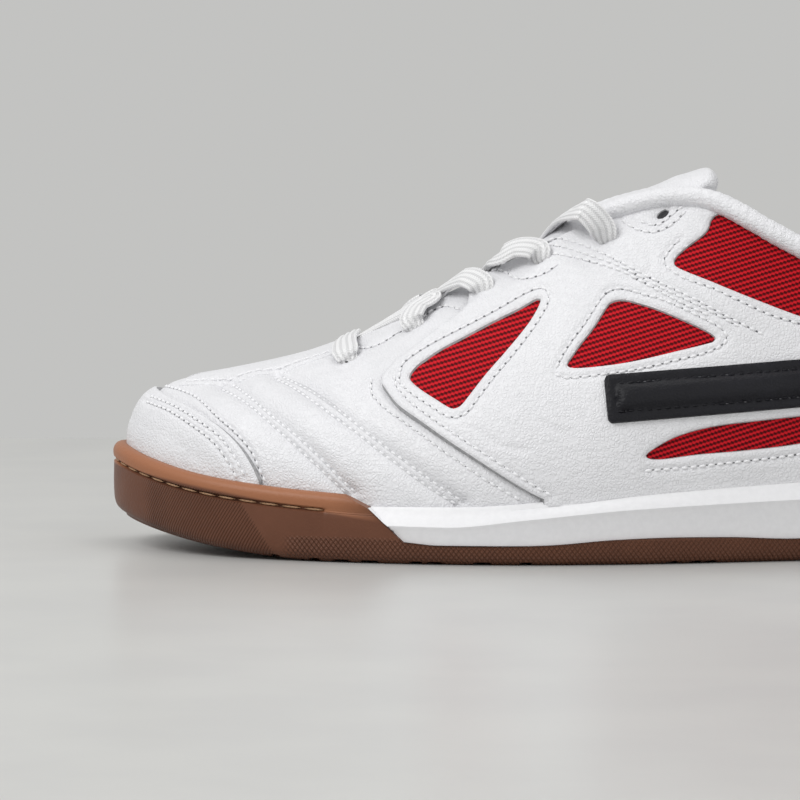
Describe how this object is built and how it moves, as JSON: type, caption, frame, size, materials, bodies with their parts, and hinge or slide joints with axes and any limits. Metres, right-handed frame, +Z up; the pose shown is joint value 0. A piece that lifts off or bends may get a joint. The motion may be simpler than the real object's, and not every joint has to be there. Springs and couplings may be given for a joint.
{
  "type": "indoor soccer shoe",
  "caption": "Low-cut left indoor soccer shoe: hollow leather upper with mesh windows on a gum rubber cup and a white foam midsole.",
  "frame": {"origin": "middle of the bounding box at floor level", "axes": "+Z up, toe towards -X, heel towards +X, outer side towards -Y"},
  "size_m": [0.2898, 0.1056, 0.0995],
  "materials": {
    "white_leather": "fine grained, satin",
    "gum_rubber": "moulded, satin",
    "white_foam": "moulded, smooth",
    "red_mesh": "open woven mesh",
    "black_leather": "fine grained, satin, padded",
    "white_lace": "flat woven lace",
    "grey_lining": "knitted lining"
  },
  "bodies": {
    "root": {"outsole": "gum_rubber", "midsole": "white_foam", "insole": "grey_lining", "upper": "white_leather", "tongue": "white_leather", "toe_cap": "white_leather", "quarter_lateral": "white_leather", "quarter_medial": "white_leather", "heel_counter": "white_leather", "collar_roll": "white_leather", "band_lateral": "black_leather", "band_medial": "black_leather", "laces": "white_lace"}
  },
  "joints": []
}
